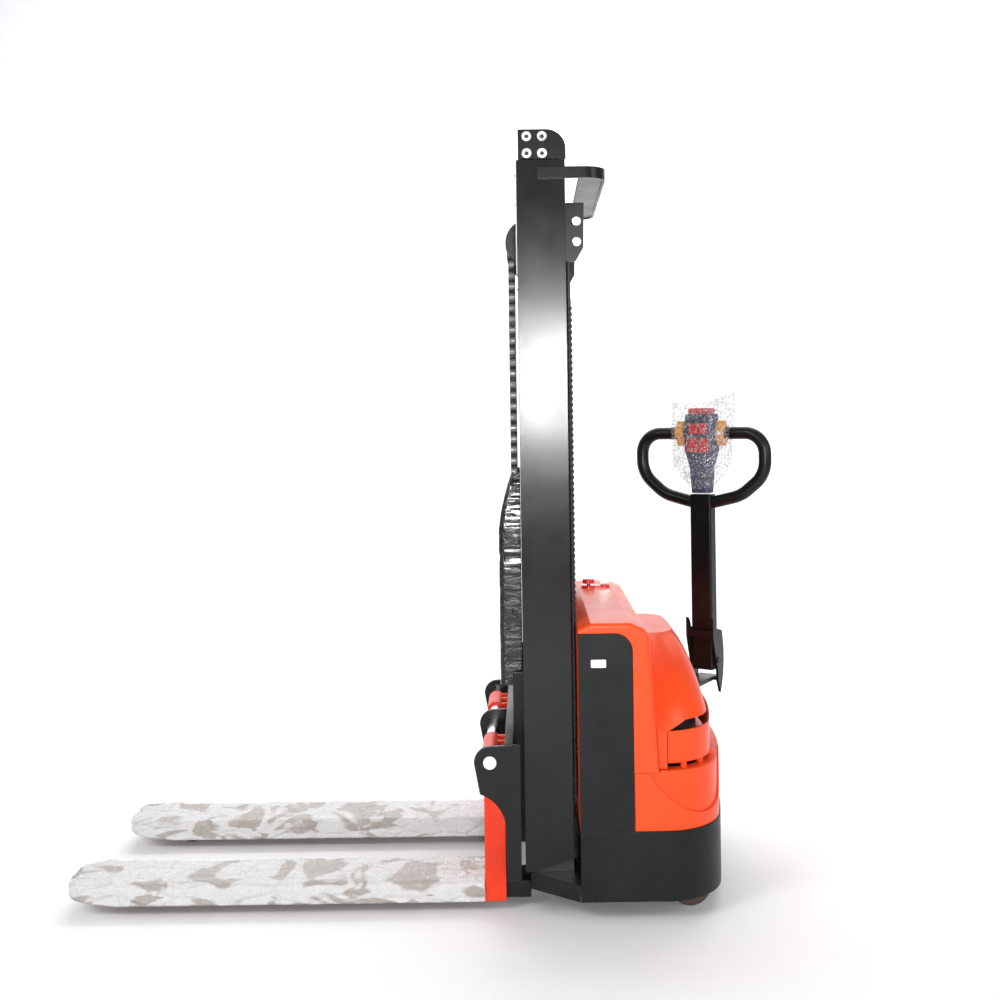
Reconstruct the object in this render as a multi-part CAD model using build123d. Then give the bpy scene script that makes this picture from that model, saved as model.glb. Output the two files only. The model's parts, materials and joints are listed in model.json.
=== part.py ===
"""Walkie stacker: an electric pedestrian pallet stacker with a two-stage mast.

Millimetres, +Z up, floor at z = 0. The forks point to -X, the operator stands at +X,
and -Y is the truck's left side. The tiller rests turned to its right and upright.
"""
import os
from math import sqrt

from build123d import *

os.makedirs("parts", exist_ok=True)

# ---------------------------------------------------------------- driving dimensions
body_half = 425            # half of the truck's width over its side panels
body_length = 418          # covers and skirt, front to back on the centre line
skirt_low = 55             # ground clearance of the skirt
skirt_high = 239           # top of the black skirt
saddle_high = 788          # crown of the battery cover
rear_corner_r = 168        # plan radius of the skirt's rear corners
rear_bow = 63              # how far the rear face bulges over the full width

mast_front = 265           # front face of the outer mast
mast_depth = 132           # outer channel, front to back
mast_rear = mast_front + mast_depth
body_front = mast_rear + 14
body_rear = body_front + body_length
mast_half = 327            # half width over the outer mast
outer_web = 10
outer_flange = 12
outer_flange_w = 65
outer_low = 99             # the channels stand on the chassis frame
inner_web = 9
inner_flange = 10
inner_flange_w = 56
mast_gap = 3               # between the nested channels, each side
roller_gap = 0.5           # between a roller and its flanges

fork_length = 1135
fork_width = 176
fork_face = 155            # front face of the fork shank
fork_centre = 252          # distance of each fork from the centre line
fork_low = 28
fork_high = 80
fork_wall = 6
shank_depth = 57
shank_high = 372
lift_stroke = 1250         # travel of each mast stage
beam_high = 466            # top of the carriage

leg_width = 116
leg_low = 26
leg_high = 70
leg_tip = -862
load_wheel_r = 35
load_wheel_w = 64
load_wheel_x = -800

shaft_x = fork_face + 19   # fork shaft, on which the forks hang
shaft_z = shank_high + 49
shaft_r = 17.5
plate_y = 402              # centre of each outer carriage plate
plate_t = 12

sheave_r = 50              # chain sheave, to the middle of the chain
sheave_x = 296
guard_r = 66               # rounded guards of the chain sheave
sheave_z = beam_high + lift_stroke + guard_r + 51    # the carriage stops below the sheaves
outer_high = sheave_z + 199
inner_high = outer_high + 60
chain_y = 140
chain_t = 18               # depth of the chain's link plates
chain_low = 190

cylinder_x = mast_rear - 52
cylinder_y = 190
cylinder_r = 26
rod_r = 18

steer_x = body_front + 303 # steering axis
steer_angle = 58           # resting turn of the tiller, towards the right side
drive_wheel_r = 100
drive_wheel_w = 64
arm_reach = 232            # from the steering axis to the tiller
tiller_pin_z = 566
arm_low = 536
arm_high = 1086
arm_w = 70
arm_d = 44
bar_z = 1278               # handle bar
bar_r = 19.5
loop_half = 208            # half width of the handle loop, to the tube's centre
head_high = 1338

caster_x = body_front + 279
caster_y = 305
caster_wheel_r = 55
caster_wheel_w = 38
caster_trail = 22

film_t = 3
clear = 0.4                # clearance between separate bodies
fit = 0.05                 # radial running fit of wheels and arms on their axles
middle_x = 12              # midway between the fork tips and the turned handle


# ---------------------------------------------------------------- helpers
def block(x, y, z):
    """A box from its lowest and highest x, y and z."""
    size = [hi - lo for lo, hi in (x, y, z)]
    middle = [(lo + hi) / 2 for lo, hi in (x, y, z)]
    return Pos(*middle) * Box(*size)


def bar_x(y, z, r, x0, x1):
    return Pos((x0 + x1) / 2, y, z) * Rot(0, 90, 0) * Cylinder(r, x1 - x0)


def bar_y(x, z, r, y0, y1):
    return Pos(x, (y0 + y1) / 2, z) * Rot(90, 0, 0) * Cylinder(r, y1 - y0)


def bar_z_axis(x, y, r, z0, z1):
    return Pos(x, y, (z0 + z1) / 2) * Cylinder(r, z1 - z0)


def side_profile(edges, y0, y1):
    """A closed outline in x and z, made solid from y0 to y1."""
    face = Plane.XZ * make_face(edges)
    return Pos(0, y1, 0) * extrude(face, amount=y1 - y0)


def mirrored(shape):
    return mirror(shape, Plane.XZ)


def both(shape):
    return [shape, mirrored(shape)]


def solids_of(shapes):
    found = []
    for shape in shapes:
        found += list(shape) if isinstance(shape, (list, tuple)) else [shape]
    return [s for shape in found for s in shape.solids()]


def save(name, *shapes):
    """Write a sub-part about the part's origin, midway along the truck."""
    placed = [Pos(-middle_x, 0, 0) * s for s in solids_of(shapes)]
    export_step(Compound(placed), f"parts/{name}.step")


def steered(shape):
    """Tiller parts are drawn straight ahead from the steering axis, then turned."""
    return Pos(steer_x, 0, 0) * Rot(0, 0, steer_angle) * shape


# ---------------------------------------------------------------- chassis
def body_plan(inset):
    """Plan outline of the truck's body, drawn in by inset on the sides and rear."""
    front = body_front - 20
    half = body_half - inset
    bow_r = (body_half**2 + rear_bow**2) / (2 * rear_bow) - inset
    rear = body_rear - inset
    side_x = rear - (bow_r - sqrt(bow_r**2 - half**2))
    outline = make_face([
        Line((front, -half), (side_x, -half)),
        ThreePointArc((side_x, -half), (rear, 0), (side_x, half)),
        Line((side_x, half), (front, half)),
        Line((front, half), (front, -half)),
    ])
    corners = [v for v in outline.vertices() if v.X > front + 1]
    return fillet(corners, max(rear_corner_r - inset, 20))


def body_prism(inset, front, z0, z1):
    solid = extrude(Pos(0, 0, z0) * body_plan(inset), amount=z1 - z0)
    return solid & block((front, body_rear + 1), (-body_half - 1, body_half + 1), (z0 - 1, z1 + 1))


skirt_wall = 6
skirt = body_prism(0, body_front, skirt_low, skirt_high)
skirt -= body_prism(skirt_wall, body_front - 1, skirt_low - 1, skirt_high + 1)
save("base_skirt", skirt)

frame_nose_x = mast_front + 14
frame_high = outer_low
ring_step = 9              # the lower cover stands in from the skirt by this much
hood_wall = 5
bridge_inset = ring_step + hood_wall + 1
frame_inner_half = body_half - bridge_inset
nose = make_face([
    Line((frame_nose_x, -mast_half), (body_front - 2, -body_half)),
    Line((body_front - 2, -body_half), (body_front - 2, body_half)),
    Line((body_front - 2, body_half), (frame_nose_x, mast_half)),
    Line((frame_nose_x, mast_half), (frame_nose_x, -mast_half)),
])
bulkhead_x = body_front + 155
plate_thick = 8
bridge_z = 2 * drive_wheel_r + 62
bridge_thick = 12
neck_hole_r = 70
frame = extrude(Pos(0, 0, skirt_low) * nose, amount=frame_high - skirt_low)
frame -= block((frame_nose_x + 20, body_front - 22), (-280, 280), (skirt_low - 1, frame_high - 10))
floor = block((body_front - 2, bulkhead_x), (-frame_inner_half, frame_inner_half),
              (frame_high - plate_thick, frame_high))
bulkhead = block((bulkhead_x - plate_thick, bulkhead_x), (-frame_inner_half, frame_inner_half),
                 (frame_high - plate_thick, bridge_z + bridge_thick))
bridge = body_prism(bridge_inset, bulkhead_x - 1, bridge_z, bridge_z + bridge_thick)
bridge -= bar_z_axis(steer_x, 0, neck_hole_r, bridge_z - 1, bridge_z + bridge_thick + 1)
caster_bore_r = 16
for side in (-1, 1):
    bridge -= bar_z_axis(caster_x, side * caster_y, caster_bore_r, bridge_z - 1,
                         bridge_z + bridge_thick + 1)
save("chassis_frame", frame + floor + bulkhead + bridge)


# ---------------------------------------------------------------- support legs and load wheels
def leg(side):
    y0 = side * fork_centre - leg_width / 2
    y1 = side * fork_centre + leg_width / 2
    beam = block((leg_tip, frame_nose_x), (y0, y1), (leg_low, leg_high))
    beam = fillet(beam.edges().filter_by(Axis.Y).group_by(Axis.X)[0], 18)
    window_w = load_wheel_w + 8
    wheel_well = block((leg_tip + 12, load_wheel_x + load_wheel_r + 10),
                       (side * fork_centre - window_w / 2, side * fork_centre + window_w / 2),
                       (leg_low - 1, leg_high + 1))
    hollow = block((load_wheel_x + load_wheel_r + 30, frame_nose_x - 30),
                   (y0 + 8, y1 - 8), (leg_low - 1, leg_high - 8))
    beam -= wheel_well
    beam -= hollow
    beam -= bar_y(load_wheel_x, load_wheel_r, axle_r, y0 - 1, y1 + 1)
    return beam


axle_r = 10
save("leg_left", leg(-1))
save("leg_right", leg(1))
save("wheel_axles", *both(bar_y(load_wheel_x, load_wheel_r, axle_r,
                                fork_centre - leg_width / 2 + 2, fork_centre + leg_width / 2 - 2)))


def roller(x, z, r, bore, y0, y1, edge=3):
    """A wheel on a Y axis, with rounded rims and a bore."""
    body = bar_y(x, z, r, y0, y1)
    body = fillet(body.edges().filter_by(GeomType.CIRCLE), edge)
    return body - bar_y(x, z, bore, y0 - 1, y1 + 1)


for side, name in ((-1, "left"), (1, "right")):
    centre = side * fork_centre
    save(f"load_wheel_{name}", roller(load_wheel_x, load_wheel_r, load_wheel_r, axle_r + fit,
                                      centre - load_wheel_w / 2, centre + load_wheel_w / 2, 5))

# ---------------------------------------------------------------- covers
saddle_rear_low = body_front + 211     # rear face of the battery cover at its foot
saddle_rear_high = body_front + 187    # and where its top corner begins
saddle_wall = 7
panel_t = 6
panel_rear = body_front + 143
panel_high = 761
panel_corner = 48
seam = 1.5                 # gap between neighbouring covers
seam_z = 393               # the cover's side strips end here, on the lower cover


def saddle_block(inset, half):
    """The cover's form: a flat front, a crowned top and a rear face that leans back."""
    front = body_front + inset
    top = saddle_high - inset
    rear_high = saddle_rear_high - inset
    rear_low = saddle_rear_low - inset
    knee_z = 390
    outline = make_face(Polyline((front, skirt_high), (front, top - 16), (front + 34, top),
                                 (front + 138, top), (rear_high, top - 22), (rear_low, knee_z),
                                 (rear_low, skirt_high), close=True))
    solid = Pos(0, half, 0) * extrude(Plane.XZ * outline, amount=2 * half)
    top_edges = [e for e in solid.edges().filter_by(Axis.Y) if e.center().Z > knee_z + 1]
    shoulder = [e for e in top_edges if e.center().X > rear_high - 1]
    return fillet(shoulder, 34 - inset)


saddle = saddle_block(0, body_half)
rim = [e for e in saddle.edges() if abs(abs(e.center().Y) - body_half) < 0.1
       and e.center().Z > skirt_high + 1 and e.center().X > body_front + 1]
saddle = fillet(rim, 10)
saddle_cavity = saddle_block(saddle_wall, body_half - saddle_wall - panel_t)
saddle -= saddle_cavity
saddle -= block((body_front + saddle_wall, saddle_rear_low - saddle_wall),
                (-body_half + saddle_wall + panel_t, body_half - saddle_wall - panel_t),
                (skirt_high - 1, skirt_high + 1))


def side_panel(thick, grow):
    """The black plate let into the cover's side: square, with one rounded top corner."""
    x1 = panel_rear + grow
    z1 = panel_high + grow
    sheet = block((body_front - grow, x1), (-body_half, -body_half + thick), (skirt_high, z1))
    corner = sheet.edges().filter_by(Axis.Y).group_by(Axis.X)[-1].group_by(Axis.Z)[-1]
    return fillet(corner, panel_corner)


saddle -= block((panel_rear + 1, body_rear), (-body_half - 1, body_half + 1), (skirt_high - 1, seam_z))
recess = side_panel(panel_t, 1)
saddle -= recess
saddle -= mirrored(recess)
stop_x = body_front + 65
key_x = body_front + 117
switch_y = 262
switch_hole_r = 9
for hole_x in (stop_x, key_x):
    saddle -= bar_z_axis(hole_x, switch_y, switch_hole_r, saddle_high - 40, saddle_high + 5)
save("battery_cover", saddle)
save("side_panels", *both(side_panel(panel_t - clear, 0)))
plate_w = 40
plate_h = 21
plate_x = body_front + 33
plate_z = 672
label = block((plate_x, plate_x + plate_w), (-body_half - 0.8, -body_half), (plate_z, plate_z + plate_h))
save("data_plate", fillet(label.edges().filter_by(Axis.Y), 3))

hood_step = 19             # the rear hood stands in from the skirt by this much
ring_high = 396
collar_low = 410
collar_high = 495
collar_step = 27
collar_front = body_front + 235
cover_back = body_front + 149          # a plane ahead of everything in the rear covers
hood_start = body_front + 179          # and of the upper hood's sections
hood_low_rear = 520
hood_high = 716
hood_rear_step = 22        # and its rear face by this much more


def saddle_clear(gap):
    """Everything in front of the battery cover's rear face, moved back by gap."""
    edges = [
        Line((body_front, 0), (body_front, 900)),
        Line((body_front, 900), (saddle_rear_high + gap - 13, 900)),
        Line((saddle_rear_high + gap - 13, 900), (saddle_rear_high + gap, saddle_high - 62)),
        Line((saddle_rear_high + gap, saddle_high - 62), (saddle_rear_low + gap, 390)),
        Line((saddle_rear_low + gap, 390), (saddle_rear_low + gap, 0)),
        Line((saddle_rear_low + gap, 0), (body_front, 0)),
    ]
    return side_profile(edges, -body_half - 1, body_half + 1)


def hood_section(z, half, rear, corner):
    bow = 0.07 * half
    face = make_face([
        Line((hood_start, -half), (rear - bow, -half)),
        ThreePointArc((rear - bow, -half), (rear, 0), (rear - bow, half)),
        Line((rear - bow, half), (hood_start, half)),
        Line((hood_start, half), (hood_start, -half)),
    ])
    corners = [v for v in face.vertices() if v.X > hood_start + 10]
    return Pos(0, 0, z) * fillet(corners, corner)


def hood_form(inset):
    """The tapering upper hood: wide at its foot and narrow at its top."""
    half = body_half - hood_step - inset
    rear = body_rear - hood_step - hood_rear_step - inset
    top = hood_high - inset
    sections = [
        hood_section(collar_high - 3, half, rear, 150 - inset),
        hood_section(610, 0.82 * half, rear - 32, 120 - inset),
        hood_section(top, 0.42 * half, rear - 90, 70 - inset),
    ]
    return loft(sections)


outer_form = hood_form(0)
inner_form = hood_form(hood_wall)
under_edges = [
    Line((cover_back, ring_high), (cover_back, collar_high)),
    Line((cover_back, collar_high), (collar_front, collar_high)),
    Line((collar_front, collar_high), (collar_front + 52, hood_low_rear)),
    Line((collar_front + 52, hood_low_rear), (body_rear + 10, hood_low_rear)),
    Line((body_rear + 10, hood_low_rear), (body_rear + 10, ring_high)),
    Line((body_rear + 10, ring_high), (cover_back, ring_high)),
]
under = side_profile(under_edges, -body_half, body_half)
hood_top = outer_form - inner_form - under
cheek = body_prism(hood_step, cover_back, ring_high, collar_high + 1)
cheek -= body_prism(hood_step + hood_wall, cover_back - 1, ring_high - 1, collar_high + 2)
cheek &= block((cover_back, collar_front - 2), (-body_half, body_half), (ring_high + seam, collar_high + 1))
hood_upper = hood_top + cheek - saddle_clear(seam) - saddle_block(-seam, body_half + 10)
save("hood_upper", hood_upper)

collar = body_prism(collar_step, collar_front, collar_low, collar_high)
collar -= body_prism(collar_step + hood_wall, collar_front - 1, collar_low - 1, collar_high + 1)
post_r = 9
post_spots = [(body_rear - back, side * (body_half - inwards))
              for back, inwards in ((139, 48), (89, 91), (52, 163)) for side in (-1, 1)]
save("hood_collar", collar)

apron_step = 3
lower_front = panel_rear + seam
lower = body_prism(ring_step, lower_front, skirt_high, ring_high)
lower -= body_prism(ring_step + hood_wall, lower_front - 1, skirt_high - 1, ring_high + 1)
lower += body_prism(ring_step + 1, lower_front, ring_high - 8, ring_high) - body_prism(
    collar_step + hood_wall + 14, lower_front - 1, ring_high - 9, ring_high + 1)
apron = body_prism(apron_step, lower_front, skirt_high, ring_high)
apron -= body_prism(ring_step + 1, lower_front - 1, skirt_high - 1, ring_high + 1)
scoop_r = 162
scoop_low = 276
scoop_turn = 52
for side in (-1, 1):
    scoop = Rot(0, 0, side * scoop_turn) * Rot(0, 90, 0) * Cylinder(scoop_r, 400)
    apron -= Pos(body_rear - 77, side * (body_half - 58), scoop_low + scoop_r) * scoop
lower = lower + apron
for x, y in post_spots:
    lower += bar_z_axis(x, y, post_r, ring_high - 2, collar_low)
above_seam = block((body_front, body_rear), (-body_half - 1, body_half + 1), (seam_z - seam, ring_high + 50))
save("hood_lower", lower - (saddle_clear(seam) & above_seam))

# ---------------------------------------------------------------- switches on the cover
switch_z = saddle_high
stop_stem_r = 6
stop_travel = 5
key_r = 5
rosette = bar_z_axis(stop_x, switch_y, 24, switch_z, switch_z + 7)
rosette += bar_z_axis(stop_x, switch_y, switch_hole_r - 0.5, switch_z - 30, switch_z + 1)
barrel = bar_z_axis(key_x, switch_y, 15, switch_z, switch_z + 9)
barrel += bar_z_axis(key_x, switch_y, switch_hole_r - 0.5, switch_z - 26, switch_z + 1)
switch_base = rosette + block((stop_x, key_x), (switch_y - 17, switch_y + 17),
                              (switch_z, switch_z + 5)) + barrel
switch_base -= bar_z_axis(stop_x, switch_y, stop_stem_r + clear, switch_z - 20, switch_z + 20)
switch_base -= bar_z_axis(key_x, switch_y, key_r + clear, switch_z - 10, switch_z + 20)
save("switch_base", switch_base)
cap_low = switch_z + 7 + stop_travel + 1
mushroom = bar_z_axis(stop_x, switch_y, 20, cap_low, cap_low + 14)
mushroom = fillet(mushroom.edges().filter_by(GeomType.CIRCLE).group_by(Axis.Z)[-1], 6)
mushroom += bar_z_axis(stop_x, switch_y, stop_stem_r, switch_z - 12, cap_low + 1)
save("emergency_stop_button", mushroom)
key = bar_z_axis(key_x, switch_y, key_r, switch_z - 8, switch_z + 14)
key += block((key_x - 13, key_x + 13), (switch_y - 2, switch_y + 2), (switch_z + 12, switch_z + 34))
save("key", key)

# ---------------------------------------------------------------- battery, power pack, drive
save("battery", fillet(block((body_front + 12, bulkhead_x - 30), (-330, 130), (99, 640))
                       .edges().filter_by(Axis.Z), 8))
tank = fillet(block((body_front + 14, bulkhead_x - 32), (150, 395), (99, 330))
              .edges().filter_by(Axis.Z), 20)
pump = bar_z_axis(body_front + 79, 270, 62, 330, 560)
save("hydraulic_unit", tank, pump)

wheel_axle_z = drive_wheel_r
flange_top = bridge_z - 2
gearbox = block((-46, 46), (drive_wheel_w / 2 + 6, drive_wheel_w / 2 + 48), (48, flange_top - 12))
gearbox = fillet(gearbox.edges().filter_by(Axis.Y), 22)
turntable = bar_z_axis(0, 0, 86, flange_top - 22, flange_top)
neck = bar_z_axis(0, 0, neck_hole_r - 1, flange_top - 4, bridge_z + bridge_thick + 8)
motor = bar_z_axis(0, 0, 62, bridge_z + bridge_thick, 470)
motor += bar_z_axis(0, 0, 54, 468, 492)
hub_stub_r = 16
stub = bar_y(0, wheel_axle_z, hub_stub_r, -drive_wheel_w / 2 - 4, drive_wheel_w / 2 + 10)
save("drive_unit", steered(gearbox + turntable + neck + motor + stub))
tyre = roller(0, wheel_axle_z, drive_wheel_r, hub_stub_r + fit, -drive_wheel_w / 2,
              drive_wheel_w / 2, 8)
save("drive_wheel", steered(tyre))

# ---------------------------------------------------------------- stabilising casters
caster_stem_r = caster_bore_r - 0.1
caster_axle_r = 7
for side, name in ((-1, "left"), (1, "right")):
    y = side * caster_y
    wheel_x = caster_x + caster_trail
    stem = bar_z_axis(caster_x, y, caster_stem_r, 126, bridge_z + bridge_thick)
    collar_ring = bar_z_axis(caster_x, y, 30, 126, bridge_z - 1)
    crown = block((caster_x - 32, wheel_x + 24), (y - 30, y + 30), (118, 130))
    ears = [block((wheel_x - 20, wheel_x + 24), (y + s * 30 - 5 * (s > 0), y + s * 30 + 5 * (s < 0)),
                  (38, 122)) for s in (-1, 1)]
    axle = bar_y(wheel_x, caster_wheel_r, caster_axle_r, y - 30, y + 30)
    save(f"caster_fork_{name}", stem + collar_ring + crown + ears[0] + ears[1] + axle)
    save(f"caster_wheel_{name}", roller(wheel_x, caster_wheel_r, caster_wheel_r, caster_axle_r + fit,
                                        y - caster_wheel_w / 2, y + caster_wheel_w / 2, 6))


# ---------------------------------------------------------------- outer mast
def channel(y_out, web, flange, width, x0, x1, z0, z1):
    """A channel on the left side, its web outwards and its flanges towards the centre."""
    body = block((x0, x1), (-y_out, -y_out + width), (z0, z1))
    body -= block((x0 + flange, x1 - flange), (-y_out + web, 0), (z0 - 1, z1 + 1))
    return body


outer = channel(mast_half, outer_web, outer_flange, outer_flange_w, mast_front, mast_rear,
                outer_low, outer_high)
save("outer_channel_left", outer)
save("outer_channel_right", mirrored(outer))

tie_t = 10
tie_half = 285
outer_ties = [block((mast_rear, mast_rear + tie_t), (-tie_half, tie_half), (z, z + h))
              for z, h in ((outer_low + 21, 110), (980, 90), (outer_high - 432, 100))]
save("outer_ties", *outer_ties)

tray_front = mast_front + 56
tray_rear = mast_rear + 112
tray_high = outer_high - 21
tray_low = tray_high - 31
tray_half = mast_half + 9
tray_corner = 58
tray_out = make_face([
    Line((tray_front, -tray_half), (tray_rear, -tray_half)),
    Line((tray_rear, -tray_half), (tray_rear, tray_half)),
    Line((tray_rear, tray_half), (tray_front, tray_half)),
    Line((tray_front, tray_half), (tray_front, -tray_half)),
])
tray_out = fillet([v for v in tray_out.vertices() if v.X > tray_front + 1], tray_corner)
tray = extrude(Pos(0, 0, tray_low) * tray_out, amount=tray_high - tray_low)
tray_wall = 8
inside = block((tray_front - 1, tray_rear - tray_corner), (-mast_half, mast_half),
               (tray_low - 1, tray_high + 1))
tray -= inside
pan = offset(tray_out, -tray_wall)
tray -= extrude(Pos(0, 0, tray_low + 9) * pan, amount=60)
tray -= extrude(Pos(0, 0, tray_low - 20) * pan, amount=23)
shelf_front = mast_rear + 37
shelf = block((shelf_front, tray_rear - tray_corner + 1), (-mast_half, mast_half),
              (tray_low + 3, tray_low + 9))
save("top_tie", tray + shelf)

bracket_y = 300
bracket_t = 10
bracket_high = outer_high - 114
bracket_low = outer_high - 274
bracket_edges = [
    Line((mast_rear, bracket_high), (mast_rear + 51, bracket_high)),
    Line((mast_rear + 51, bracket_high), (mast_rear + 49, bracket_low + 38)),
    Line((mast_rear + 49, bracket_low + 38), (mast_rear + 27, bracket_low)),
    Line((mast_rear + 27, bracket_low), (mast_rear, bracket_low)),
    Line((mast_rear, bracket_low), (mast_rear, bracket_high)),
]
bracket = side_profile(bracket_edges, -bracket_y - bracket_t / 2, -bracket_y + bracket_t / 2)
bolt_x = mast_rear + 30
bolt_zs = (bracket_high - 51, bracket_high - 107)
save("cylinder_brackets", *both(bracket))
bolts = []
for z in bolt_zs:
    head = bar_y(bolt_x, z, 14, -bracket_y - bracket_t / 2 - 8, -bracket_y - bracket_t / 2)
    bolts += both(fillet(head.edges().filter_by(GeomType.CIRCLE).group_by(Axis.Y)[0], 4))
save("bracket_bolts", *bolts)

tube_low = 112
tube_high = outer_high - 332
tube = bar_z_axis(cylinder_x, -cylinder_y, cylinder_r, tube_low, tube_high)
tube -= bar_z_axis(cylinder_x, -cylinder_y, rod_r + 0.08, tube_low + 14, tube_high + 1)
save("lift_cylinders", *both(tube))
hose_r = 6
hose_y = 305
hose_x = mast_rear + hose_r + clear
hose_high = bracket_low - 103
hose = bar_z_axis(hose_x, -hose_y, hose_r, 300, hose_high)
ferrule = bar_z_axis(hose_x, -hose_y, hose_r - 1, hose_high, bracket_low - 1)
save("lift_hoses", *both(hose), *both(ferrule))

# ---------------------------------------------------------------- inner mast
inner_x0 = mast_front + outer_flange + mast_gap
inner_x1 = mast_rear - outer_flange - mast_gap
inner_y = 296
inner_low = 104
inner = channel(inner_y, inner_web, inner_flange, inner_flange_w, inner_x0, inner_x1,
                inner_low, inner_high - 64)
tie_x0 = inner_x1 - 9
inner_edge_y = inner_y - inner_flange_w
inner_ties = [block((tie_x0, inner_x1), (-inner_edge_y, inner_edge_y), (z, z + h))
              for z, h in ((112, 90), (1180, 70))]

head_low = inner_high - 64
head_x0 = mast_front + 5
head_x1 = mast_rear + 3
head_top = inner_high + 24
head_t = 12
head_edges = [
    Line((head_x0, outer_high + 4), (head_x0, head_top)),
    Line((head_x0, head_top), (head_x1 - 52, head_top)),
    ThreePointArc((head_x1 - 52, head_top), (head_x1 - 16, head_top - 15), (head_x1, head_top - 48)),
    Line((head_x1, head_top - 48), (head_x1, outer_high + 4)),
    Line((head_x1, outer_high + 4), (head_x0, outer_high + 4)),
]
cheek_y = mast_half - 6
head_cheek = side_profile(head_edges, -cheek_y, -cheek_y + head_t)
head_foot = block((inner_x0, inner_x1), (-cheek_y, -inner_edge_y), (outer_high + 4, outer_high + 16))
post = block((inner_x0, inner_x1), (-inner_y, -inner_edge_y), (head_low, outer_high + 5))
head_tie = block((inner_x1 - 64, inner_x1), (-cheek_y, cheek_y), (outer_high + 16, outer_high + 52))
head_plate = head_cheek + head_foot + post
inner_head = head_plate + mirrored(head_plate) + head_tie
ring_bolts = []
for x in (head_x0 + 24, head_x0 + 66):
    for z in (head_top - 20, head_top - 66):
        bolt = bar_y(x, z, 13, -cheek_y - 6, -cheek_y)
        bolt -= bar_y(x, z, 6.5, -cheek_y - 7, -cheek_y - 2)
        ring_bolts += both(bolt)
save("head_bolts", *ring_bolts)

rod = bar_z_axis(cylinder_x, -cylinder_y, rod_r, tube_low + 16, outer_high + 16)
save("lift_rods", *both(rod))

sheave_pin_r = 11
sheave_w = 22
bracket_gap = 4


def sheave_yoke():
    """Two rounded plates with the sheave's pin, under a foot on the mast's cross tie."""
    plates = []
    for y in (-chain_y - sheave_w / 2 - bracket_gap - 6, -chain_y + sheave_w / 2 + bracket_gap):
        disc = bar_y(sheave_x, sheave_z, guard_r, y, y + 6)
        rise = block((sheave_x - 20, inner_x1 - 9), (y, y + 6), (sheave_z, outer_high + 17))
        plates.append(disc + rise)
    low, high = -chain_y - sheave_w / 2 - bracket_gap - 6, -chain_y + sheave_w / 2 + bracket_gap + 6
    foot = block((sheave_x + 30, inner_x1 - 9), (low, high), (outer_high + 2, outer_high + 16))
    pin = bar_y(sheave_x, sheave_z, sheave_pin_r, low, high)
    return plates[0] + plates[1] + foot + pin


save("inner_head", inner_head + sheave_yoke() + mirrored(sheave_yoke()))
rope_y0 = -chain_y - sheave_w / 2
rope_y1 = -chain_y + sheave_w / 2
wheel = bar_y(sheave_x, sheave_z, sheave_r + 4, rope_y0, rope_y1)
wheel -= bar_y(sheave_x, sheave_z, 80, rope_y0 + 4, rope_y1 - 4) - bar_y(
    sheave_x, sheave_z, sheave_r - chain_t / 2 - 1, rope_y0 + 3, rope_y1 - 3)
wheel -= bar_y(sheave_x, sheave_z, sheave_pin_r + fit, rope_y0 - 1, rope_y1 + 1)
save("chain_sheaves", *both(wheel))

lane = 3.2
lane_gap = 0.6


def chain_bars(x, z0, z1, lanes):
    """Straight run of a leaf chain, as its rows of link plates."""
    rows = []
    for k in lanes:
        middle = -chain_y + k * (lane + lane_gap)
        rows += both(block((x - chain_t / 2, x + chain_t / 2), (middle - lane / 2, middle + lane / 2),
                           (z0, z1)))
    return rows


chain_front_x = sheave_x - sheave_r
chain_rear_x = sheave_x + sheave_r
save("chain_front", *chain_bars(chain_front_x, chain_low, sheave_z, (-1, 0, 1)))
save("chain_rear_moving", *chain_bars(chain_rear_x, chain_low + 20, sheave_z, (-1, 1)))
save("chain_rear_fixed", *chain_bars(chain_rear_x, chain_low + 20, sheave_z - 170, (0,)))

# ---------------------------------------------------------------- mast rollers
outer_run = (mast_depth - 2 * outer_flange) / 2
roller_x = mast_front + mast_depth / 2
mast_roller_z = 168
stub_r = 15
mast_rollers = roller(roller_x, mast_roller_z, outer_run - roller_gap, stub_r + fit,
                      -mast_half + outer_web + 1, -inner_y - 2)
save("mast_rollers", *both(mast_rollers))
stub = bar_y(roller_x, mast_roller_z, stub_r, -mast_half + outer_web + 2, -inner_y + 1)
inner_side = inner + stub
save("inner_mast", inner_side + mirrored(inner_side) + inner_ties[0] + inner_ties[1])

# ---------------------------------------------------------------- carriage
inner_run = (inner_x1 - inner_x0) / 2 - inner_flange
upright_y0 = -inner_edge_y + 4
upright_y1 = upright_y0 + 15
upright_front = 236
upright_rear = inner_x1 - 12
roller_low_z = 215
roller_high_z = 560
upright = block((upright_front, upright_rear), (upright_y0, upright_y1), (150, 620))
upright -= block((upright_front + 60, upright_rear + 1), (upright_y0 - 1, upright_y1 + 1),
                 (roller_low_z + 70, roller_high_z - 70))
stubs = [bar_y(roller_x, z, stub_r, -inner_y + inner_web + 2, upright_y0 + 1)
         for z in (roller_low_z, roller_high_z)]
upright += stubs[0] + stubs[1]
for z, name in ((roller_low_z, "lower"), (roller_high_z, "upper")):
    wheel = roller(roller_x, z, inner_run - roller_gap, stub_r + fit, -inner_y + inner_web + 2,
                   upright_y0 - 3)
    save(f"carriage_rollers_{name}", *both(wheel))

beam_front = 213
beam_half = plate_y - plate_t / 2
lower_beam_low = 108
beams = [block((beam_front, upright_front), (-beam_half, beam_half), (beam_high - 70, beam_high)),
         block((beam_front + 2, upright_front), (-beam_half, beam_half),
               (lower_beam_low, lower_beam_low + 80))]
anchor = block((upright_front, chain_front_x + 12), (-chain_y - 14, -chain_y + 14),
               (chain_low - 30, chain_low - 1))
save("carriage_frame", *both(upright), *beams, *both(anchor))

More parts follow.
